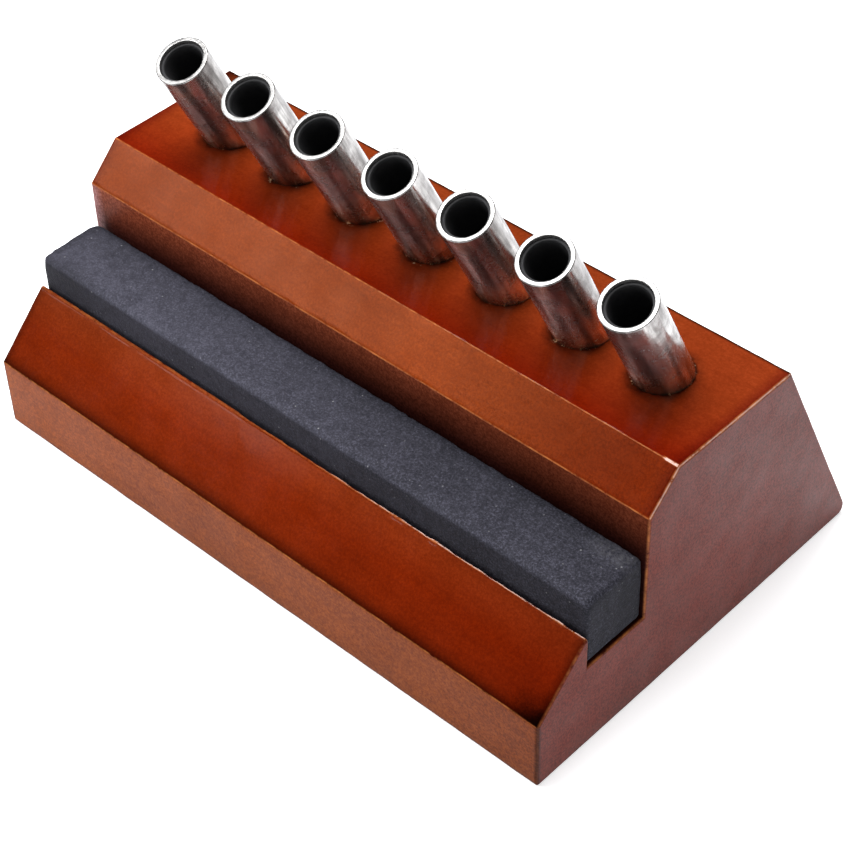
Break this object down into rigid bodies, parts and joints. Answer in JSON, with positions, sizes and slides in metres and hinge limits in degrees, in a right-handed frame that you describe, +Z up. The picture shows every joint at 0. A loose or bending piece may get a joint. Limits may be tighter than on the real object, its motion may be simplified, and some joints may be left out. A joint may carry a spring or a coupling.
{
  "type": "pick holder",
  "caption": "Stepped wooden desk stand with a row of forward-leaning steel tubes and a loose stone bar in an open groove.",
  "frame": {"origin": "centre of the block's underside", "axes": "+X along the row of tubes, -Y towards the low front with the groove, +Z up"},
  "size_m": [0.157, 0.1001, 0.0844],
  "materials": {
    "lacquered_wood": "clear gloss lacquer over red-brown stain",
    "tube_steel": "semi-bright drawn",
    "black_sleeve": "matte",
    "grey_stone": "fine-grained, unpolished"
  },
  "bodies": {
    "stand": {"stand_block": "lacquered_wood", "tube_1": "tube_steel", "sleeve_1": "black_sleeve", "tube_2": "tube_steel", "sleeve_2": "black_sleeve", "tube_3": "tube_steel", "sleeve_3": "black_sleeve", "tube_4": "tube_steel", "sleeve_4": "black_sleeve", "tube_5": "tube_steel", "sleeve_5": "black_sleeve", "tube_6": "tube_steel", "sleeve_6": "black_sleeve", "tube_7": "tube_steel", "sleeve_7": "black_sleeve"},
    "bar": {"stone_bar": "grey_stone"}
  },
  "joints": [
    {"name": "bar_lift", "type": "slide", "parent": "stand", "child": "bar", "axis": [0, 0, 1], "range_m": [0, 0.065]}
  ]
}
